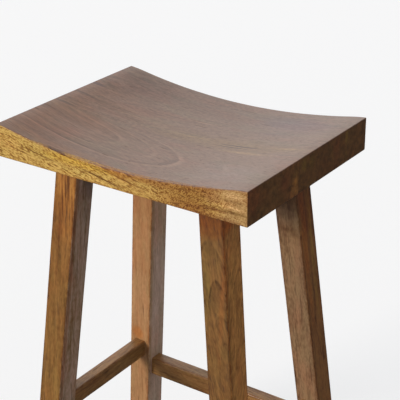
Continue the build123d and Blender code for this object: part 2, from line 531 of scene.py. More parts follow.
class Wiring(Tree):
    """A node tree with short ways to its most common nodes."""

    def math(self, operation, *values, clamp=False):
        """A Math node."""
        return self.add("Math", dict(enumerate(values)), operation=operation, use_clamp=clamp).outputs[0]

    def vector(self, operation, *values):
        """A Vector Math node's vector, or its value where it has only that."""
        node = self.add("VectorMath", dict(enumerate(values)), operation=operation)
        return node.outputs["Value" if operation in HAS_VALUE else "Vector"]

    def on_line(self, value):
        """A number as a place on a line, where a noise can read it."""
        return self.add("CombineXYZ", {"X": value}).outputs[0]

    def noise(self, place, stretch, scale, detail=2.0, rough=0.5, output="Fac"):
        """A Noise Texture of a place, which can be stretched along each axis first."""
        if stretch is not None:
            place = self.vector("MULTIPLY", place, stretch)
        inputs = {"Vector": place, "Scale": scale, "Detail": detail, "Roughness": rough}
        return self.add("TexNoise", inputs).outputs[output]

    def wobble(self, *how):
        """A Noise Texture's value about zero."""
        return self.math("SUBTRACT", self.noise(*how), 0.5)

    def remap(self, value, low, high, to_low=0.0, to_high=1.0, smooth=True):
        """Maps a range of values onto another, without running past its ends."""
        inputs = {"Value": value, "From Min": low, "From Max": high, "To Min": to_low, "To Max": to_high}
        node = self.add("MapRange", inputs, interpolation_type="SMOOTHSTEP" if smooth else "LINEAR")
        return node.outputs["Result"]

    def mix(self, amount, first, second, blend="MIX"):
        """Mixes two colours. Each is another node's output or a plain (red, green, blue)."""
        colours = [(*colour, 1) if isinstance(colour, tuple) else colour for colour in (first, second)]
        inputs = {"Factor": amount, 6: colours[0], 7: colours[1]}
        return self.add("Mix", inputs, data_type="RGBA", blend_type=blend).outputs[2]

    def group(self, shared, inputs):
        """Places a shared group."""
        return self.add("Group", inputs, node_tree=shared).outputs


# %% [markdown]
# A group needs its sockets before anything can be wired to them. The kind of an input follows from its
# default, a number or a vector. All the groups give plain masks, so every output is a value, and it is
# named where it is wired up.

# %% Open and close a shared group
ORIGIN = (0, 0, 0)


def shared_group(name, inputs):
    """A new node group, its wiring and its input sockets. inputs are names with their defaults."""
    tree = bpy.data.node_groups.new(name, "ShaderNodeTree")
    for label, default in inputs.items():
        kind = "NodeSocketVector" if isinstance(default, tuple) else "NodeSocketFloat"
        tree.interface.new_socket(label, in_out="INPUT", socket_type=kind).default_value = default
    return tree, Wiring(tree), tree.nodes.new("NodeGroupInput").outputs


def group_gives(tree, values):
    """Gives a shared group its outputs and says how large it has become."""
    for label in values:
        tree.interface.new_socket(label, in_out="OUTPUT", socket_type="NodeSocketFloat")
    ends = tree.nodes.new("NodeGroupOutput")
    ends.location = (NODES_IN_ROW * NODE_STEP[0], 0)
    Wiring(tree).feed(ends.inputs, values)
    print(tree.name, "has", len(tree.nodes), "nodes")


# %% [markdown]
# ### Growth rings
#
# A log is a stack of cylinders, one for each year. The distance from the pith gives the year, and the part
# of the year gives the tone: pale early wood that darkens slowly, then a thin light line where the next
# year starts. A plain wave would look like a target, so a slow noise, stretched along the grain, bends the
# cylinders. Each year gets its own width and strength, and its line fades out here and there. The wavering
# distance itself is an output too, for a board whose years are given one by one.

# %% Group: growth rings
BEND_STRETCH = (2.2, 9.0, 9.0)
RIPPLE_STRETCH = (9.0, 60.0, 60.0)
RIPPLE_SHARE = 0.15
BEND_GAIN = 2.0
YEAR_SPREAD = 3.0
FADING_STRETCH = (9.0, 28.0, 28.0)
FAINTEST = 0.15
DARKEST_PART = 0.86
LINE_PART = 0.93
LATE_RISE = 1.6

growth_rings, wires, given = shared_group(
    "growth_rings", {"Grain": ORIGIN, "Ring Width": 10 * MM, "Waver": 8 * MM})
slow = wires.wobble(given["Grain"], BEND_STRETCH, 1.0)
ripple = wires.wobble(given["Grain"], RIPPLE_STRETCH, 1.0)
bend = wires.math("MULTIPLY", wires.math("MULTIPLY_ADD", ripple, RIPPLE_SHARE, slow), given["Waver"])
flat = wires.vector("MULTIPLY", given["Grain"], (0, 1, 1))
radius = wires.math("MULTIPLY_ADD", bend, BEND_GAIN, wires.vector("LENGTH", flat))

years = wires.math("DIVIDE", radius, given["Ring Width"])
uneven = wires.noise(wires.on_line(years), None, 0.55, 1.0)
years = wires.math("MULTIPLY_ADD", uneven, YEAR_SPREAD, years)
lot = wires.noise(wires.on_line(wires.math("FLOOR", years)), None, 3.7, 0.0)
strength = wires.remap(lot, 0.35, 0.65, FAINTEST, 1.0)
fading = wires.remap(wires.noise(given["Grain"], FADING_STRETCH, 1.0), 0.38, 0.60, FAINTEST, 1.0)
strength = wires.math("MULTIPLY", strength, fading)

part = wires.math("FRACT", years)
rise = wires.math("POWER", wires.remap(part, 0.05, DARKEST_PART), LATE_RISE)
dark = wires.math("MULTIPLY", rise, wires.remap(part, DARKEST_PART, 1.0, 1.0, 0.0))
line = wires.remap(part, DARKEST_PART, LINE_PART)
line = wires.math("MULTIPLY", line, wires.remap(part, LINE_PART, 1.0, 1.0, 0.0))
group_gives(growth_rings, {
    "Rings": wires.math("MULTIPLY", dark, strength), "Pale Lines": wires.math("MULTIPLY", line, strength),
    "Radius": radius, "Fading": fading})

# %% [markdown]
# ### Fibres and pores
#
# Up close, wood is a bundle of straws. Noise that is stretched many times along the grain gives fine hairs
# of light and dark, and the same noise at another scale, cut off hard, leaves short dark dashes: the open
# pores that catch stain. A coarser one gives broad streaks. Because all are sampled in the log, they turn
# into specks on the end grain.

# %% Group: fibres and pores
FIBRE_STRETCH = (0.070, 1, 1)
PORE_STRETCH = (0.060, 1, 1)
STREAK_STRETCH = (0.080, 1, 1)
NO_PORES, ALL_PORES = 0.74, 0.44
PORE_RIM = 0.07

fibres_and_pores, wires, given = shared_group(
    "fibres_and_pores", {"Grain": ORIGIN, "Fineness": 420.0, "Pore Share": 0.3})
pore_scale = wires.math("MULTIPLY", given["Fineness"], 0.9)
streak_scale = wires.math("MULTIPLY", given["Fineness"], 0.4)
spots = wires.noise(given["Grain"], PORE_STRETCH, pore_scale, 1.0, 0.4)
edge = wires.remap(given["Pore Share"], 0.0, 1.0, NO_PORES, ALL_PORES, smooth=False)
group_gives(fibres_and_pores, {
    "Fibres": wires.noise(given["Grain"], FIBRE_STRETCH, given["Fineness"], 3.0, 0.6),
    "Pores": wires.remap(spots, edge, wires.math("ADD", edge, PORE_RIM)),
    "Streaks": wires.noise(given["Grain"], STREAK_STRETCH, streak_scale)})

# %% [markdown]
# ### Short dashes
#
# Where the fibres wave in and out of the surface, light catches them in short dashes. They lie along the
# grain, or slant across it where the board is curly. The group turns the log by the slant and then
# stretches a noise in the new direction.

# %% Group: short dashes
short_dashes, wires, given = shared_group(
    "short_dashes", {"Grain": ORIGIN, "Dash Scale": 300.0, "Length": 4.0, "Slant": 0.0})
turned = wires.add(
    "VectorRotate", {"Vector": given["Grain"], "Angle": given["Slant"]}, rotation_type="Y_AXIS").outputs[0]
shrink = wires.math("DIVIDE", 1.0, given["Length"])
drawn_out = wires.add("CombineXYZ", {"X": shrink, "Y": 1.0, "Z": 1.0}).outputs[0]
dashes = wires.noise(turned, drawn_out, given["Dash Scale"], 1.0)
group_gives(short_dashes, {"Dashes": wires.remap(dashes, 0.30, 0.70, -0.5, 0.5, smooth=False)})

# %% [markdown]
# ### Stain drift
#
# Stain never takes evenly. Here it pulls a little to red, there a little to green. Two channels of one
# colour noise, longer along the grain than across it, say where.

# %% Group: stain drift
DRIFT_STRETCH = (0.30, 1, 1)

stain_drift, wires, given = shared_group("stain_drift", {"Grain": ORIGIN, "Drift Scale": 60.0})
cloud = wires.noise(given["Grain"], DRIFT_STRETCH, given["Drift Scale"], 3.0, output="Color")
channels = wires.add("SeparateColor", {0: cloud}).outputs
group_gives(stain_drift, {
    "Warm": wires.remap(channels[0], 0.48, 0.66), "Cool": wires.remap(channels[1], 0.48, 0.66)})

# %% [markdown]
# ### Worn arrises
#
# Hands and trousers polish the edges, and stain gathers beside them. On a face of a bar, one of the three
# distances to its faces is nothing, and the next smallest is the distance from the arris. That is how the
# group finds the edges without looking at the mesh: it adds the three distances up and takes the smallest
# and the largest away. A noise makes the worn band ragged.

# %% Group: arris wear
WEAR_STRETCH = (0.5, 1, 1)
NARROWEST, WIDEST = 0.1, 2.6

arris_wear, wires, given = shared_group(
    "arris_wear", {"From Low": (1, 1, 1), "From High": (1, 1, 1), "Grain": ORIGIN, "Width": 4 * MM})
nearest = wires.vector("MINIMUM", given["From Low"], given["From High"])
sides = wires.add("SeparateXYZ", {0: nearest}).outputs
smallest, largest, total = (
    wires.math(fold, wires.math(fold, sides[0], sides[1]), sides[2])
    for fold in ("MINIMUM", "MAXIMUM", "ADD"))
edge = wires.math("SUBTRACT", wires.math("SUBTRACT", total, smallest), largest)
ragged = wires.noise(given["Grain"], WEAR_STRETCH, 160.0, 4.0, 0.7)
breadth = wires.remap(ragged, 0.42, 0.70, NARROWEST, WIDEST, smooth=False)
share = wires.math("DIVIDE", edge, wires.math("MULTIPLY", given["Width"], breadth))
group_gives(arris_wear, {"Wear": wires.remap(share, 0.35, 1.0, 1.0, 0.0)})

# %% [markdown]
# ### Soft patches
#
# A board changes tone along its length, where sapwood meets heartwood or the stain took better. A patch is
# an ellipsoid with a ragged, faded rim. The materials multiply their colour by a tint inside it. A patch
# that is very long and thin draws a single streak or a dark line. Some patches paint light instead: painted
# shade where the seat shades a leg, and painted sheen or highlights where a face catches the light.

# %% Group: soft patch
ROAM_STRETCH, ROAM_SCALE = (0.35, 1.3, 1.3), 22.0
CRUMB_STRETCH, CRUMB_SCALE = (0.6, 1, 1), 260.0
CRUMBLING = 0.15

soft_patch, wires, given = shared_group(
    "soft_patch", {"Place": ORIGIN, "Centre": ORIGIN, "Reach": (0.1, 0.1, 0.1), "Hardness": 0.3})
away = wires.vector("DIVIDE", wires.vector("SUBTRACT", given["Place"], given["Centre"]), given["Reach"])
roam = wires.wobble(given["Place"], ROAM_STRETCH, ROAM_SCALE)
crumbs = wires.wobble(given["Place"], CRUMB_STRETCH, CRUMB_SCALE, 2.0, 0.6)
distance = wires.math("ADD", wires.vector("LENGTH", away), roam)
distance = wires.math("MULTIPLY_ADD", crumbs, CRUMBLING, distance)
group_gives(soft_patch, {"Patch": wires.remap(distance, given["Hardness"], 1.0, 1.0, 0.0)})

# %% [markdown]
# ### Tone of a face
#
# Two faces of one stick are sawn through different years, and they often differ in tone as plainly as two
# boards do. On the left legs, the tint of the right face also paints the sheen and light that the face
# catches. A face is known by the direction in which it looks, so a dot product picks it out. A little
# noise makes the border crumble where the face turns into the next one.

# %% Group: face tone
BORDER_STRETCH, BORDER_SCALE = (0.4, 1, 1), 300.0

face_tone, wires, given = shared_group(
    "face_tone", {"Normal": (0, 0, 1), "Direction": (1, 0, 0), "Grain": ORIGIN, "Ragged": 0.0})
facing = wires.vector("DOT_PRODUCT", given["Normal"], given["Direction"])
crumbs = wires.wobble(given["Grain"], BORDER_STRETCH, BORDER_SCALE, 2.0, 0.6)
facing = wires.math("MULTIPLY_ADD", crumbs, given["Ragged"], facing)
group_gives(face_tone, {"Face": wires.remap(facing, 0.55, 0.85)})

# %% [markdown]
# ## The wood itself
#
# One recipe makes all the wood materials, and a dictionary of values makes each its own. First come short
# helpers that place a shared group and hand on its mask. The tone of the wood runs from 0, pale, to 1,
# dark: it starts at a base and each effect adds or takes a little, as far as its depth says.

# %% Masks and tones
STREAK_SPREAD = 0.20
FIBRE_SPREAD = 0.22


def emptied(owner):
    """The wiring of a material or a world whose node tree is cleared first."""
    owner.use_nodes = True
    owner.node_tree.nodes.clear()
    return Wiring(owner.node_tree)


def centred(wires, value, spread):
    """A mask from -0.5 to 0.5, over the spread of a noise about its middle."""
    return wires.remap(value, 0.5 - spread, 0.5 + spread, -0.5, 0.5, smooth=False)


def straw_masks(wires, grain, values):
    """Fibres, pores and streaks."""
    inputs = {"Grain": grain, "Fineness": values["fineness"], "Pore Share": values["pore_share"]}
    return wires.group(fibres_and_pores, inputs)


def dash_mask(wires, grain, scale, length, slant=0.0):
    """Short dashes along the grain or slanting across it."""
    inputs = {"Grain": grain, "Dash Scale": scale, "Length": length, "Slant": slant}
    return wires.group(short_dashes, inputs)["Dashes"]


def patch_mask(wires, place, centre, reach, hardness):
    """One soft patch."""
    inputs = {"Place": place, "Centre": centre, "Reach": reach, "Hardness": hardness}
    return wires.group(soft_patch, inputs)["Patch"]


def face_mask(wires, normal, direction, border=None):
    """The faces that look in a direction."""
    return wires.group(face_tone, {"Normal": normal, "Direction": direction, **(border or {})})["Face"]


def toned(wires, base, *effects):
    """The tone of the wood: a base and the sum of the effects, each a mask and its depth."""
    tone = base
    for number, (mask, depth) in enumerate(effects, 1):
        tone = wires.math("MULTIPLY_ADD", mask, depth, tone, clamp=number == len(effects))
    return tone


# %% [markdown]
# Colours change after that in two ways: where a mask lies, they are multiplied by a tint, or another layer
# covers them. Multiplying keeps the figure of the wood visible under a stain, as on the real thing.

# %% Tints, patches and drift
DRIFT_TINTS = {"Warm": (1.10, 0.93, 0.90), "Cool": (0.92, 1.05, 1.00)}


def tinted(wires, mask, colour, tint):
    """A colour, multiplied by a tint where the mask lies."""
    return wires.mix(mask, colour, tint, blend="MULTIPLY")


def patched(wires, place, patches, colour):
    """A colour, multiplied by a tint inside each patch."""
    for *form, tint in patches:
        colour = tinted(wires, patch_mask(wires, place, *form), colour, tint)
    return colour


def drifted(wires, grain, scale, depth, colour):
    """A colour that drifts to red here and to green there."""
    drift = wires.group(stain_drift, {"Grain": grain, "Drift Scale": scale})
    for side, tint in DRIFT_TINTS.items():
        colour = tinted(wires, wires.math("MULTIPLY", drift[side], depth), colour, tint)
    return colour


# %% [markdown]
# The place in the log comes from the attribute that was stored with each piece. No fibre runs quite
# straight, so a slow noise bends it. Where the picture shows a certain arch, its years are listed one by one:
# a colour ramp says how dark the wood is at each distance from the pith.

# %% Place in the log and years set by hand
YEARS_REACH = 120 * MM
LEAST_LINE = 0.32
SWAY_STRETCH, SWAY_SCALE = (1.0, 2.2, 2.2), 9.0


def wandering_grain(wires, amount, shift):
    """The place in the log, moved along it and bent by a slow noise."""
    grain = wires.add("Attribute", attribute_name="grain").outputs["Vector"]
    grain = wires.vector("ADD", grain, shift)
    sway = wires.noise(grain, SWAY_STRETCH, SWAY_SCALE, output="Color")
    sway = wires.vector("MULTIPLY", wires.vector("SUBTRACT", sway, (0.5, 0.5, 0.5)), (0, amount, amount))
    return wires.vector("ADD", grain, sway)


def set_years(wires, radius, fading, stops):
    """How dark the wood is at a distance from the pith. stops are (mm, darkness), at most 32."""
    ramp = wires.add("ValToRGB", {0: wires.math("DIVIDE", radius, YEARS_REACH)})
    steps = ramp.color_ramp.elements
    while len(steps) < len(stops):
        steps.new(0.5)
    for step, (distance, darkness) in zip(steps, stops):
        step.position = distance * MM / YEARS_REACH
        step.color = (darkness, darkness, darkness, 1)
    strength = wires.math("MULTIPLY_ADD", fading, 1 - LEAST_LINE, LEAST_LINE)
    return wires.math("MULTIPLY_ADD", wires.math("SUBTRACT", ramp.outputs[0], 0.5), strength, 0.5)


# %% [markdown]
# ### Sapwood
#
# The front edge of the seat is sapwood, the young outer wood of the tree: golden, with more and finer
# pores, and lively dashes that stand steep near the right, where the board is curly, and calm down at the
# very end. It is a second layer of colour that covers the front face and comes round on to the rim, where
# the stain has worn thin. Only the stained part of it, on the rim, is browner.

# %% Sapwood layer
CURL_STRENGTH = 1.5
CALMING = -0.55
WHITE = (1, 1, 1)
FRONT = (0, -1, 0)


def sapwood_layer(wires, grain, spot, rings, drift_scale, sap):
    """The mask and the colour of the sapwood."""
    hairs = straw_masks(wires, grain, sap)
    level = dash_mask(wires, grain, sap["dash_scale"], sap["dash_length"], sap["dash_slant"])
    steep = dash_mask(wires, grain, sap["dash_scale"], sap["curl_length"], sap["curl_slant"])
    swap = wires.math("MULTIPLY_ADD", steep, CURL_STRENGTH, wires.math("MULTIPLY", level, -1.0))
    swap = wires.math("MULTIPLY", swap, patch_mask(wires, spot["Object"], *sap["curly"]))
    calm = patch_mask(wires, spot["Object"], *sap["calm"])
    lively = wires.math("MULTIPLY_ADD", calm, CALMING, 1.0)
    flecks = wires.math("MULTIPLY", wires.math("ADD", level, swap), lively)
    tone = toned(
        wires, sap["base_tone"], (rings["Rings"], sap["ring_depth"]),
        (centred(wires, hairs["Streaks"], STREAK_SPREAD), sap["streak_depth"]),
        (centred(wires, hairs["Fibres"], FIBRE_SPREAD), sap["fibre_depth"]), (flecks, sap["dash_depth"]))
    colour = wires.mix(tone, sap["pale"], sap["dark"])
    pores = wires.math("MULTIPLY", wires.math("MULTIPLY", hairs["Pores"], sap["pore_depth"]), lively)
    colour = wires.mix(pores, colour, sap["pore"])
    colour = drifted(wires, grain, drift_scale, sap["drift_depth"], colour)
    colour = patched(wires, grain, sap["lines"], colour)
    colour = patched(wires, spot["Object"], sap["patches"], colour)
    front = face_mask(wires, spot["Normal"], FRONT, {"Grain": grain, "Ragged": sap["ragged"]})
    colour = tinted(wires, 1.0, colour, wires.mix(front, sap["stained"], WHITE))
    return wires.math("MAXIMUM", front, patch_mask(wires, spot["Object"], *sap["rim"])), colour


# %% [markdown]
# ### Lacquer
#
# The wood has a satin lacquer. It is not equally smooth all over: it sinks into the open pores and is
# rougher there, and the worn arrises are polished. The same masks give a small bump of a few tenths of a
# millimetre, so the light breaks where the colour says that there is a pore.

# %% Lacquer
ROUGHNESS = 0.42
GRAIN_ROUGHNESS = 0.12
POLISH = -0.06
PORES_SINK = -0.6
RINGS_STAND = 0.3
RELIEF = 0.3 * MM
RELIEF_STRENGTH = 0.25


def lacquered(wires, colour, straws, rings, wear):
    """The lacquer over a colour, as the material's surface."""
    rough = wires.math("MULTIPLY_ADD", straws["Fibres"], GRAIN_ROUGHNESS, ROUGHNESS - GRAIN_ROUGHNESS / 2)
    rough = wires.math("MULTIPLY_ADD", straws["Pores"], GRAIN_ROUGHNESS, rough)
    rough = wires.math("MULTIPLY_ADD", wear, POLISH, rough)
    height = wires.math("MULTIPLY_ADD", straws["Pores"], PORES_SINK, straws["Fibres"])
    height = wires.math("MULTIPLY_ADD", rings["Rings"], RINGS_STAND, height)
    bump = wires.add("Bump", {"Strength": RELIEF_STRENGTH, "Distance": RELIEF, "Height": height})
    shader = wires.add("BsdfPrincipled", {
        "Base Color": colour, "Roughness": rough, "Normal": bump.outputs[0]})
    shader.inputs["IOR"].default_value = 1.5
    wires.add("OutputMaterial", {"Surface": shader.outputs[0]})


# %% [markdown]
# ### Along the grain and across it
#
# Most of what is seen is wood that was sawn along the grain. Its tone comes from the years, their pale
# lines, the streaks, the fibres and the dashes, and pores, drifting stain and patches follow. Where the wood
# is cut across, only streaks and dashes are left of all that, and they show as specks.

# %% Colours along and across the grain
def figure_masks(wires, grain, values):
    """What draws the figure of a wood: its rings, straws, dashes and streaks."""
    rings = wires.group(growth_rings, {
        "Grain": grain, "Ring Width": values["ring_width"], "Waver": values["waver"]})
    straws = straw_masks(wires, grain, values)
    dashes = dash_mask(wires, grain, values["dash_scale"], values["dash_length"])
    return rings, straws, dashes, centred(wires, straws["Streaks"], STREAK_SPREAD)


def sawn_along(wires, grain, place, figure, values):
    """The colour of the wood on a face along the grain."""
    rings, straws, dashes, streaks = figure
    if values["streaky"]:
        *form, more = values["streaky"]
        gain = wires.math("MULTIPLY_ADD", patch_mask(wires, place, *form), more, 1.0)
        streaks = wires.math("MULTIPLY", streaks, gain)
    years = rings["Rings"]
    if values["years"]:
        years = set_years(wires, rings["Radius"], rings["Fading"], values["years"])
    tone = toned(
        wires, values["base_tone"], (years, values["ring_depth"]),
        (rings["Pale Lines"], -values["line_depth"]), (streaks, values["streak_depth"]),
        (centred(wires, straws["Fibres"], FIBRE_SPREAD), values["fibre_depth"]),
        (dashes, values["dash_depth"]))
    colour = wires.mix(tone, values["pale"], values["dark"])
    pores = wires.math("MULTIPLY", straws["Pores"], values["pore_depth"])
    colour = wires.mix(pores, colour, values["pore"])
    colour = drifted(wires, grain, values["drift_scale"], values["drift_depth"], colour)
    return patched(wires, place, values["patches"], colour)


def cut_across(wires, grain, place, figure, drift_scale, end):
    """The colour of the wood on an end."""
    _, _, dashes, streaks = figure
    tone = toned(wires, 0.5, (streaks, end["streak_depth"]), (dashes, end["dash_depth"]))
    colour = wires.mix(tone, end["pale"], end["dark"])
    colour = drifted(wires, grain, drift_scale, end["drift_depth"], colour)
    return patched(wires, place, end["patches"], colour)


# %% [markdown]
# ### The recipe
#
# Now the helpers are put together. The colour along the grain and its single streaks come first. Where a
# piece has them, a layer of sapwood covers its front and end grain covers its ends. Last come the faces of
# another tone and the worn edges, and then the lacquer.

# %% Recipe for a wood material
RIGHT, LEFT = (1, 0, 0), (-1, 0, 0)
ANY_WOOD = {"fineness": 330.0, "faces": [], "patches": [], "streaks": [],
            "years": None, "streaky": None, "sap": None, "end": None}


def wood(name, values):
    """A wood material. values holds its colours and how strong each effect is."""
    material = bpy.data.materials.new(name)
    wires = emptied(material)
    grain = wandering_grain(wires, values["wander"], values["shift"])
    low = wires.add("Attribute", attribute_name="from_low").outputs["Vector"]
    high = wires.add("Attribute", attribute_name="from_high").outputs["Vector"]
    spot = wires.add("TexCoord").outputs
    figure = figure_masks(wires, grain, values)
    rings, straws = figure[:2]

    colour = sawn_along(wires, grain, spot["Object"], figure, values)
    colour = patched(wires, low, values["streaks"], colour)
    if values["sap"]:
        mask, sapwood = sapwood_layer(wires, grain, spot, rings, values["drift_scale"], values["sap"])
        colour = wires.mix(mask, colour, sapwood)
    if values["end"]:
        cut = cut_across(wires, grain, spot["Object"], figure, values["drift_scale"], values["end"])
        for direction in (RIGHT, LEFT):
            colour = wires.mix(face_mask(wires, spot["Normal"], direction), colour, cut)
    for direction, tint in values["faces"]:
        colour = tinted(wires, face_mask(wires, spot["Normal"], direction), colour, tint)
    wear = wires.group(arris_wear, {
        "From Low": low, "From High": high, "Grain": grain, "Width": values["wear_width"]})["Wear"]
    colour = tinted(wires, wires.math("MULTIPLY", wear, values["wear_depth"]), colour, values["wear"])
    lacquered(wires, colour, straws, rings, wear)
    print(name, "has", len(material.node_tree.nodes), "nodes")
    return material


# %% [markdown]
# ### Where a patch lies on the seat
#
# Most patches lie on one face, so two numbers for the place and two for the reach are enough. The reach into
# the wood is so large that it hardly counts. A reach is half the patch's size, in metres like all else.

# %% Patches on the faces of the seat
TOP_LEVEL = 740 * MM
DEEP = 50 * MM
SKIN = 20 * MM
ALL = 300 * MM


def on_top(x, y, long, wide, hardness, *tint, deep=ALL):
    """A patch on the seat's top."""
    return (x, y, TOP_LEVEL), (long, wide, deep), hardness, *tint


def on_front(x, z, long, tall, hardness, *tint):
    """A patch on the seat's front face."""
    return (x, -SEAT_SIDE, z), (long, DEEP, tall), hardness, *tint


def on_end(y, z, wide, tall, hardness, tint):
    """A patch on the seat's right end."""
    return (SEAT_END, y, z), (SKIN, wide, tall), hardness, tint


# %% [markdown]
# ### Seat tones
#
# The top is a greyish mauve brown. It is one colour only at first sight: the left end is redder, a band
# across the middle is olive, the right end is cooler and paler, and three thin dark streaks start at the
# left end. Each of those is a patch. The cool, pale patches at the right end are partly painted sheen, on
# top of the sheen that the bright pane lays on the lacquer there. The values after them are the wood that
# all three staves start from.

# %% Wood of the seat
top_patches = [
    on_top(-0.20, -0.05, 0.15, 0.20, 0.1, (0.96, 0.76, 0.58)),
    on_top(-0.16, 0.11, 0.10, 0.07, 0.1, (0.82, 0.77, 0.74)),
    on_top(0.00, 0.14, 0.40, 0.10, 0.1, (0.88, 0.87, 0.86)),
    on_top(-0.214, 0.063, 0.022, 0.006, 0.2, (0.55, 0.52, 0.66)),
    on_top(-0.205, 0.018, 0.030, 0.005, 0.2, (0.62, 0.60, 0.66)),
    on_top(-0.200, -0.030, 0.035, 0.005, 0.2, (0.60, 0.60, 0.60)),
    on_top(0.09, 0.00, 0.20, 0.040, 0.2, (1.03, 1.03, 0.80)),
    # partly painted sheen: these two patches make the right end of the top cooler and paler
    on_top(0.13, 0.105, 0.08, 0.06, 0.1, (0.82, 0.86, 1.16)),
    on_top(0.15, -0.11, 0.08, 0.05, 0.1, (1.05, 1.18, 1.34)),
    on_top(-0.10, -0.155, 0.10, 0.018, 0.2, (1.08, 0.96, 0.82)),
]
seat_base = {
    **ANY_WOOD, "patches": top_patches, "streaky": on_top(-0.20, 0.0, 0.16, 0.30, 0.2, 2.0),
    "pale": (0.322, 0.188, 0.125), "dark": (0.112, 0.058, 0.037), "base_tone": 0.42,
    "ring_width": 12 * MM, "waver": 12 * MM, "ring_depth": 0.10, "line_depth": 0.12,
    "streak_depth": 0.15, "fibre_depth": 0.15, "dash_scale": 300.0, "dash_length": 2.0, "dash_depth": 0.34,
    "pore": (0.070, 0.033, 0.018), "pore_share": 0.20, "pore_depth": 0.35,
    "wander": 6 * MM, "shift": (0, 0, 0), "drift_scale": 36.0, "drift_depth": 0.60,
    "wear": (0.58, 0.36, 0.26), "wear_depth": 0.50, "wear_width": 3.4 * MM,
}
print("the seat's top has", len(top_patches), "patches")

# %% [markdown]
# ### Dark ends
#
# End grain is the open ends of all the straws, so it drinks far more stain than any face, and both ends of
# the seat are nearly black. Where two staves meet, the tone changes, because each stave has its own end:
# the front one has a pale spot beside the joint, the other two have small olive ones near the top.

# %% End grain of each stave
end_patches = {
    "front": [
        on_end(-0.044, 0.703, 0.017, 0.026, 0.5, (1.92, 1.86, 1.80)),
        on_end(-0.042, 0.727, 0.012, 0.018, 0.2, (1.45, 1.50, 1.30)),
        on_end(-0.071, 0.728, 0.018, 0.020, 0.2, (1.08, 0.90, 1.00)),
        on_end(-0.155, 0.735, 0.025, 0.030, 0.3, (1.20, 0.95, 0.95)),
    ],
    "middle": [
        on_end(-0.020, 0.738, 0.012, 0.016, 0.2, (1.15, 1.42, 0.90)),
        on_end(0.003, 0.735, 0.010, 0.014, 0.2, (1.12, 1.32, 0.95)),
        on_end(0.040, 0.720, 0.030, 0.060, 0.3, (0.92, 0.90, 0.92)),
    ],
    "back": [
        on_end(0.104, 0.738, 0.005, 0.016, 0.2, (1.25, 1.50, 0.95)),
        on_end(0.104, 0.710, 0.005, 0.012, 0.2, (1.18, 1.35, 0.95)),
        on_end(0.075, 0.725, 0.015, 0.050, 0.2, (1.05, 0.88, 0.95)),
    ],
}
ends = {
    side: {"pale": (0.208, 0.088, 0.021), "dark": (0.058, 0.0205, 0.001), "streak_depth": 0.6,
           "dash_depth": 0.22, "drift_depth": 0.5, "patches": patches}
    for side, patches in end_patches.items()
}
print("patches on the ends:", {side: len(patches) for side, patches in end_patches.items()})

# %% [markdown]
# ### Sapwood on the front edge
#
# The golden front edge changes along its length as well. It is fullest on the left, browner and redder
# towards the right, and a little paler again at the right corner, where a cool pale band along its top is a
# painted highlight. Dark and pale lines cross it where single years come out on the slant. They are patches
# placed in the log, so they run with the grain.

# %% Values of the sapwood
sap_lines = [
    ((x, y, z), (long, 40 * MM, thin), 0.2, tint) for x, y, z, long, thin, tint in (
        (0.288, -0.078, 0.0371, 0.060, 0.0018, (0.30, 0.20, 0.08)),
        (0.205, -0.090, 0.0470, 0.050, 0.0016, (0.32, 0.22, 0.10)),
        (0.165, -0.095, 0.0280, 0.055, 0.0016, (0.36, 0.25, 0.12)),
        (0.130, -0.098, 0.0190, 0.045, 0.0016, (0.36, 0.25, 0.12)),
        (0.330, -0.075, 0.0520, 0.055, 0.0018, (0.42, 0.28, 0.12)),
        (0.250, -0.078, 0.0440, 0.060, 0.0020, (1.25, 1.25, 1.25)),
        (0.300, -0.078, 0.0310, 0.060, 0.0020, (1.22, 1.25, 1.30)),
    )
]
sap_patches = [
    on_front(0.20, 0.72, 0.24, ALL, 0.3, (0.88, 0.80, 0.84)),
    on_front(0.130, 0.72, 0.07, ALL, 0.2, (0.74, 0.62, 0.46)),
    on_front(0.215, 0.72, 0.055, ALL, 0.3, (0.90, 0.95, 1.30)),
    on_front(-0.06, 0.724, 0.10, 0.010, 0.3, (0.99, 0.96, 0.62)),
    on_front(0.05, 0.725, 0.09, 0.008, 0.3, (0.80, 0.66, 0.58)),
    on_front(0.140, 0.7065, 0.032, 0.0045, 0.3, (0.70, 0.60, 0.52)),
    on_front(0.172, 0.7110, 0.040, 0.0045, 0.2, (0.56, 0.42, 0.32)),
    on_front(0.205, 0.7133, 0.042, 0.0040, 0.2, (0.56, 0.50, 0.36)),
    on_front(0.170, 0.7000, 0.070, 0.0045, 0.3, (0.78, 0.70, 0.68)),
    on_front(0.167, 0.727, 0.020, 0.016, 0.3, (0.86, 0.80, 0.90)),
    on_front(0.200, 0.7295, 0.034, 0.0036, 0.2, (0.76, 0.72, 0.66)),
    on_front(0.200, 0.720, 0.05, 0.0030, 0.2, (1.45, 1.56, 1.80)),
    # painted highlight: a cool pale band along the top of the front face near the right corner
    on_front(0.205, 0.738, 0.04, 0.0065, 0.2, (1.28, 1.38, 1.60)),
]
front_sap = {
    "rim": ((0.015, -SEAT_SIDE, 0.735), (0.195, 9.2 * MM, DEEP), 0.75),
    "ragged": 0.9, "stained": (0.82, 0.64, 0.03),
    "calm": on_front(SEAT_END, 0.72, 0.075, ALL, 0.3),
    "curly": ((0.15, -SEAT_SIDE, 0.72), (0.13, 30 * MM, ALL), 0.4), "curl_slant": 0.95, "curl_length": 2.0,
    "pale": (0.630, 0.410, 0.110), "dark": (0.240, 0.086, 0.001), "base_tone": 0.30, "ring_depth": 0.10,
    "streak_depth": 0.30, "fineness": 560.0, "fibre_depth": 0.45, "drift_depth": 0.4,
    "dash_scale": 620.0, "dash_slant": -0.12, "dash_length": 3.5, "dash_depth": 1.20,
    "pore": (0.160, 0.052, 0.000), "pore_share": 0.46, "pore_depth": 0.75,
    "lines": sap_lines, "patches": sap_patches,
}
print("the front edge has", len(sap_lines), "slanting lines and", len(sap_patches), "patches")
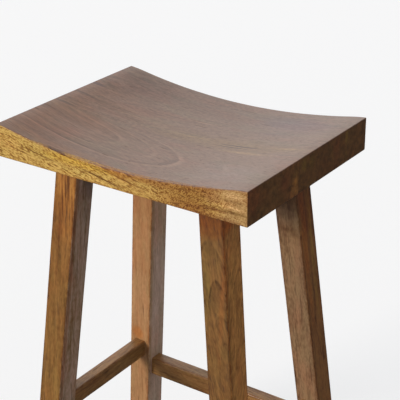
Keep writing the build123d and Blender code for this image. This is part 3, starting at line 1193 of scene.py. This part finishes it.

# %% [markdown]
# ### One wood for each stave
#
# The front stave shows faint nested arches, each a thin pale line with a darker one before it, so its
# years are listed one by one. The middle one has a few thin dark lines and some pale ones. The back one
# needs only its own place in the log and narrower rings.

# %% Seat materials
own_values = {
    "front": {
        "sap": front_sap, "waver": 6 * MM, "ring_depth": 0.78, "line_depth": 0.0, "base_tone": 0.01,
        "streak_depth": 0.14, "dash_scale": 460.0, "dash_length": 5.0, "dash_depth": 0.30,
        "years": [(0, 0.50), (40, 0.52), (43.2, 0.64), (44.1, 0.15), (45.0, 0.50), (47.6, 0.56),
                  (48.4, 0.70), (49.2, 0.02), (50.0, 0.05), (51.0, 0.48), (56.0, 0.56), (57.0, 0.78),
                  (57.9, 0.08), (58.8, 0.12), (59.8, 0.50), (65, 0.58), (67.6, 0.88), (69.2, 0.90),
                  (70.2, 0.0), (71.6, 0.12), (72.6, 0.50), (91, 0.58), (92.6, 0.40), (94, 0.50)],
    },
    "middle": {
        "ring_width": 8 * MM, "shift": (0.31, 0, 0),
        "patches": top_patches + [on_top(*row, deep=100 * MM) for row in (
            (0.110, -0.004, 0.050, 0.0022, 0.3, (0.35, 0.33, 0.33)),
            (0.098, -0.011, 0.042, 0.0022, 0.3, (0.42, 0.40, 0.40)),
            (0.185, 0.003, 0.045, 0.0070, 0.0, (1.42, 1.46, 1.16)),
            (0.135, -0.027, 0.090, 0.0070, 0.0, (1.36, 1.40, 1.12)),
            (0.020, 0.001, 0.070, 0.0045, 0.0, (1.22, 1.24, 1.12)),
            (0.0, 0.058, 0.045, 0.0025, 0.2, (1.55, 1.55, 1.50)),
        )],
    },
    "back": {"ring_width": 9 * MM, "shift": (0.77, 0, 0)},
}
for side, own in own_values.items():
    staves[side].data.materials.append(wood(f"{side}_stave_wood", {**seat_base, "end": ends[side], **own}))

# %% [markdown]
# ### Leg and rail tones
#
# The legs and rails are browner than the seat, with stronger rings and more pores. One set of values holds
# for all of them. The rails take it as it is, each from another place in the log.

# %% Wood of the legs and rails
leg_base = {
    **ANY_WOOD, "pale": (0.36, 0.185, 0.060), "dark": (0.125, 0.047, 0.009), "base_tone": 0.30,
    "ring_width": 9 * MM, "waver": 10 * MM, "ring_depth": 0.35, "line_depth": 0.15,
    "streak_depth": 0.55, "fibre_depth": 0.45, "dash_scale": 330.0, "dash_length": 3.0, "dash_depth": 0.42,
    "pore": (0.055, 0.019, 0.004), "pore_share": 0.32, "pore_depth": 0.50,
    "wander": 4 * MM, "shift": (0.2, 0, 0), "drift_scale": 50.0, "drift_depth": 0.5,
    "wear": (0.66, 0.48, 0.32), "wear_depth": 0.6, "wear_width": 3.5 * MM,
}
for number, (side, piece) in enumerate(rails.items()):
    own = {"shift": (1.6 + 0.4 * number, 0, 0)}
    piece.data.materials.append(wood(f"{side}_rail_wood", {**leg_base, **own}))

# %% [markdown]
# ### The left legs
#
# Each leg is a stick of its own. The front left one is golden, with short dark flames at its head, and a
# dark patch paints the seat's shade on the top of its right face. The back left one is plain and pinkish.
# The right faces of both are tinted paler and greyer than their fronts: in part their own tone, in part a
# painted reflection of the floor and painted light from the gap between the legs. The back left one is also
# painted paler and greyer towards its foot in the same way. A patch is set out in the stool's own axes. A
# long streak can't be, because it has to lean with its leg, so its place is given from the leg's low
# faces: across the leg, through it, and up from the foot.

# %% Tones of the left legs
flames = [
    ((x, -0.120, z), (half, 10 * MM, tall), 0.2, tint) for x, z, half, tall, tint in (
        (-0.128, 0.662, 0.0032, 0.045, (0.48, 0.36, 0.22)),
        (-0.134, 0.650, 0.0022, 0.030, (0.50, 0.38, 0.26)),
        (-0.140, 0.622, 0.0020, 0.040, (0.48, 0.38, 0.26)),
        (-0.121, 0.612, 0.0022, 0.045, (0.50, 0.40, 0.28)),
        (-0.134, 0.580, 0.0022, 0.030, (0.56, 0.46, 0.34)),
    )
]
left_legs = {
    "front_left": {
        # the right face's tint is partly its own tone, partly painted sheen and light
        "pale": (0.285, 0.138, 0.033), "dark": (0.098, 0.035, 0.001), "faces": [(RIGHT, (1.84, 2.60, 8.20))],
        "patches": [((-0.131, -0.125, 0.660), (0.05, 0.014, 0.110), 0.3, (1.54, 1.39, 1.10)), *flames,
                    ((-0.145, -0.120, 0.490), (0.03, 0.014, 0.040), 0.2, (0.98, 0.84, 0.76)),
                    ((-0.138, -0.120, 0.607), (0.03, 0.014, 0.035), 0.2, (0.78, 0.74, 0.68)),
                    # painted shade: the seat's shadow on the top of the right face
                    ((-0.110, -0.085, 0.690), (0.03, 0.03, 0.150), 0.1, (0.36, 0.35, 0.42))],
        "streaks": [((0.0, 0.0388, 0.45), (0.010, 0.0058, 0.60), 0.2, (0.74, 0.57, 0.44)),
                    ((0.021, LEG_DEPTH, 0.56), (0.050, 0.012, 0.12), 0.3, (1.04, 0.95, 0.88)),
                    ((0.026, LEG_DEPTH, 0.55), (0.003, 0.010, 0.13), 0.2, (0.84, 0.72, 0.60))],
    },
    "back_left": {
        # the right face's tint is partly its own tone, partly painted sheen and light
        "pale": (0.45, 0.237, 0.105), "dark": (0.265, 0.122, 0.044), "faces": [(RIGHT, (1.50, 2.02, 3.55))],
        "ring_depth": 0.2, "pore_share": 0.15, "shift": (0.4, 0, 0),
        "patches": [((-0.131, 0.117, 0.540), (0.06, 0.06, 0.110), 0.2, (0.94, 0.86, 0.74)),
                    # painted sheen: paler and greyer towards the foot
                    ((-0.160, 0.117, 0.360), (0.06, 0.06, 0.110), 0.2, (1.11, 1.15, 1.22)),
                    ((-0.179, 0.100, 0.272), (0.016, 0.03, 0.018), 0.3, (1.02, 0.76, 0.50))],
        "streaks": [((0.0, 0.0042, 0.45), (0.010, 0.0060, 0.60), 0.2, (0.78, 0.72, 0.55))],
    },
}
print("the front left leg has", len(flames), "short flames")

# %% [markdown]
# ### The right legs
#
# The front right leg is olive and shows small arches, so its years are listed one by one like those of the
# front stave, and its head is redder. The back right one is fine and mottled. Orange, dark and olive
# streaks run down its right face. The head of the leg is painted darker as the shade of the seat, with two
# grey patches at the upper left of its front, and a paler patch below lightens the edge of the real shadow.

# %% Tones of the right legs and leg materials
right_legs = {
    "front_right": {
        "pale": (0.245, 0.115, 0.030), "dark": (0.078, 0.030, 0.004), "faces": [(RIGHT, (2.47, 2.34, 2.16))],
        "ring_depth": 0.80, "line_depth": 0.0, "base_tone": 0.0, "streak_depth": 0.40, "waver": 5 * MM,
        "shift": (0.8, 0, 0),
        "years": [(0, 0.50), (20, 0.55), (20.7, 0.90), (21.2, 0.30), (27.2, 0.55), (27.8, 0.90),
                  (28.4, 0.30), (35.3, 0.58), (35.8, 1.0), (36.1, 1.0), (36.6, 0.20), (44.2, 0.55),
                  (44.6, 1.0), (44.9, 1.0), (45.4, 0.20), (50, 0.45), (60, 0.50)],
        "patches": [((0.130, -0.117, 0.685), (0.06, 0.03, 0.055), 0.6, (0.98, 0.60, 0.20)),
                    ((0.128, -0.125, 0.560), (0.016, 0.03, 0.110), 0.3, (0.94, 1.07, 0.90)),
                    ((0.158, -0.128, 0.560), (0.007, 0.03, 0.160), 0.2, (1.16, 0.98, 0.84))],
        "streaks": [((LEG_WIDTH, 0.042, 0.45), (0.008, 0.008, 0.60), 0.2, (0.70, 0.66, 0.58))],
    },
    "back_right": {
        "pale": (0.28, 0.160, 0.082), "dark": (0.14, 0.066, 0.030), "faces": [(RIGHT, (1.00, 0.73, 0.38))],
        "ring_depth": 0.15, "streak_depth": 0.8, "dash_depth": 0.8, "dash_scale": 380.0, "shift": (1.2, 0, 0),
        # painted shade: the seat's shadow darkens the head of the leg
        "patches": [((0.130, 0.076, 0.708), (0.15, 0.016, 0.165), 0.20, (0.36, 0.36, 0.38)),
                    ((0.150, 0.105, 0.700), (0.06, 0.06, 0.148), 0.68, (0.74, 0.62, 0.48)),
                    # painted light: lifts the lower edge of the seat's real shadow
                    ((0.145, 0.083, 0.555), (0.040, 0.016, 0.045), 0.1, (1.20, 1.16, 1.12))],
        "streaks": [((LEG_WIDTH, 0.012, 0.58), (0.012, 0.010, 0.24), 0.2, (1.26, 1.02, 0.68)),
                    ((LEG_WIDTH, 0.022, 0.56), (0.012, 0.005, 0.24), 0.2, (0.80, 0.74, 0.68)),
                    ((LEG_WIDTH, 0.031, 0.56), (0.012, 0.008, 0.24), 0.2, (1.12, 1.30, 0.92)),
                    # painted shade: two grey patches at the upper left of the front face
                    ((0.014, 0.0, 0.599), (0.045, 0.012, 0.026), 0.1, (0.74, 0.75, 0.78)),
                    ((0.004, 0.0, 0.650), (0.016, 0.012, 0.060), 0.1, (0.66, 0.66, 0.70))],
    },
}
for corner, own in {**left_legs, **right_legs}.items():
    legs[corner].data.materials.append(wood(f"{corner}_leg_wood", {**leg_base, **own}))

# %% [markdown]
# ## Small parts that keep their measured shape
#
# The dowels, the glides and their nails are already right as solids, and nearly all of them is hidden. They
# keep their meshes and only get better materials, set in the slots that they came with. One recipe serves
# all three: beech, nylon and steel differ in colour, gloss and in how their specks are drawn out.

# %% Dowels, glides and nails
SPECK_ROUGHNESS = 0.2
SPECK_RELIEF = 0.2 * MM


def speckled(name, colour, speck, roughness, metallic, stretch):
    """A plain material with some speckle in its colour, gloss and surface."""
    material = bpy.data.materials.new(name)
    wires = emptied(material)
    specks = wires.noise(wires.add("TexCoord").outputs["Object"], stretch, 1.0, 3.0, 0.6)
    tone = wires.remap(specks, 0.3, 0.7)
    rough = wires.math("MULTIPLY_ADD", specks, SPECK_ROUGHNESS, roughness - SPECK_ROUGHNESS / 2)
    bump = wires.add("Bump", {"Strength": 0.2, "Distance": SPECK_RELIEF, "Height": specks})
    shader = wires.add("BsdfPrincipled", {
        "Base Color": wires.mix(tone, colour, speck), "Roughness": rough, "Normal": bump.outputs[0]})
    shader.inputs["Metallic"].default_value = metallic
    wires.add("OutputMaterial", {"Surface": shader.outputs[0]})
    return material


small_finishes = {
    "seat_dowels": speckled(
        "dowel_beech", (0.52, 0.36, 0.21), (0.42, 0.27, 0.15), 0.55, 0.0, (900, 900, 30)),
    "glide": speckled(
        "glide_nylon", (0.030, 0.028, 0.026), (0.045, 0.042, 0.040), 0.5, 0.0, (700, 700, 700)),
    "glide_nail": speckled(
        "nail_steel", (0.50, 0.50, 0.51), (0.40, 0.40, 0.42), 0.3, 1.0, (500, 500, 2500)),
}
for kind, material in small_finishes.items():
    for corner in legs:
        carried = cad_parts[f"{kind}_{corner}"]
        for holder in carried.material_slots:
            holder.material = material
        print(carried.name, "now wears", material.name)

# %% [markdown]
# ## The studio
#
# A product picture needs a pale floor and soft light. The floor is one large sheet, far larger than the
# view. It glows a little for the camera alone, so that it reads nearly white without lighting the stool
# from below, and it is darker in reflections, so that it doesn't whiten the lacquer.

# %% Floor
FLOOR_HALF = 60
FLOOR_GREY = (0.35, 0.35, 0.35)
GREY_IN_GLOSS = (0.08, 0.08, 0.08)
FLOOR_GLOW = 0.64

floor_mesh = bpy.data.meshes.new("floor")
corners = [(FLOOR_HALF * x, FLOOR_HALF * y, 0) for x, y in ((-1, -1), (1, -1), (1, 1), (-1, 1))]
floor_mesh.from_pydata(corners, [], [(0, 1, 2, 3)])
floor = bpy.data.objects.new("floor", floor_mesh)
scene.collection.objects.link(floor)

floor_paint = bpy.data.materials.new("floor_paint")
wires = emptied(floor_paint)
path = wires.add("LightPath").outputs
paint = wires.add("BsdfPrincipled", {
    "Base Color": wires.mix(path["Is Glossy Ray"], FLOOR_GREY, GREY_IN_GLOSS), "Roughness": 0.9,
    "Emission Color": (0.985, 0.995, 1.01, 1),
    "Emission Strength": wires.math("MULTIPLY", path["Is Camera Ray"], FLOOR_GLOW)})
wires.add("OutputMaterial", {"Surface": paint.outputs[0]})
floor_mesh.materials.append(floor_paint)
print("the floor is", 2 * FLOOR_HALF, "m wide")

# %% [markdown]
# Two kinds of light do the work. The first is a slightly warm sun at the front left, which lights the front
# faces. Its wide angle makes the shadows soft.

# %% Key light
KEY_AIM = Vector((0.35, 0.86, -0.36))

key_data = bpy.data.lights.new("key_light", "SUN")
key_data.energy = 2.45
key_data.angle = math.radians(25)
key_data.color = (1.0, 0.95, 0.88)
key = bpy.data.objects.new("key_light", key_data)
key.rotation_mode = "QUATERNION"
key.rotation_quaternion = KEY_AIM.to_track_quat("-Z", "Y")
scene.collection.objects.link(key)
print("the key light is", round(math.degrees(key_data.angle)), "degrees wide")

# %% [markdown]
# The second is the world, a soft studio sky. It is dim all round, but it has a bright pane low behind the
# stool, whose reflection lays the pale sheen on the seat. The camera itself sees a plain pale sky.

# %% Sky
PANE = Vector((-0.70, 0.70, 0.12)).normalized()
PANE_CORE, PANE_RIM = math.radians(8), math.radians(40)
DIM_SKY = (0.44, 0.44, 0.445)
BRIGHT_PANE = (1.65, 1.62, 1.60)
SEEN_SKY = (0.92, 0.92, 0.92)

world = bpy.data.worlds.new("studio_sky")
wires = emptied(world)
towards = wires.vector("DOT_PRODUCT", wires.add("TexCoord").outputs["Generated"], tuple(PANE))
pane = wires.remap(towards, math.cos(PANE_RIM), math.cos(PANE_CORE))
sky = wires.mix(pane, DIM_SKY, BRIGHT_PANE)
sky = wires.mix(wires.add("LightPath").outputs["Is Camera Ray"], sky, SEEN_SKY)
wires.add("OutputWorld", {"Surface": wires.add("Background", {"Color": sky}).outputs[0]})
scene.world = world
scene.view_settings.view_transform = "Standard"
print(world.name, "has", len(world.node_tree.nodes), "nodes")
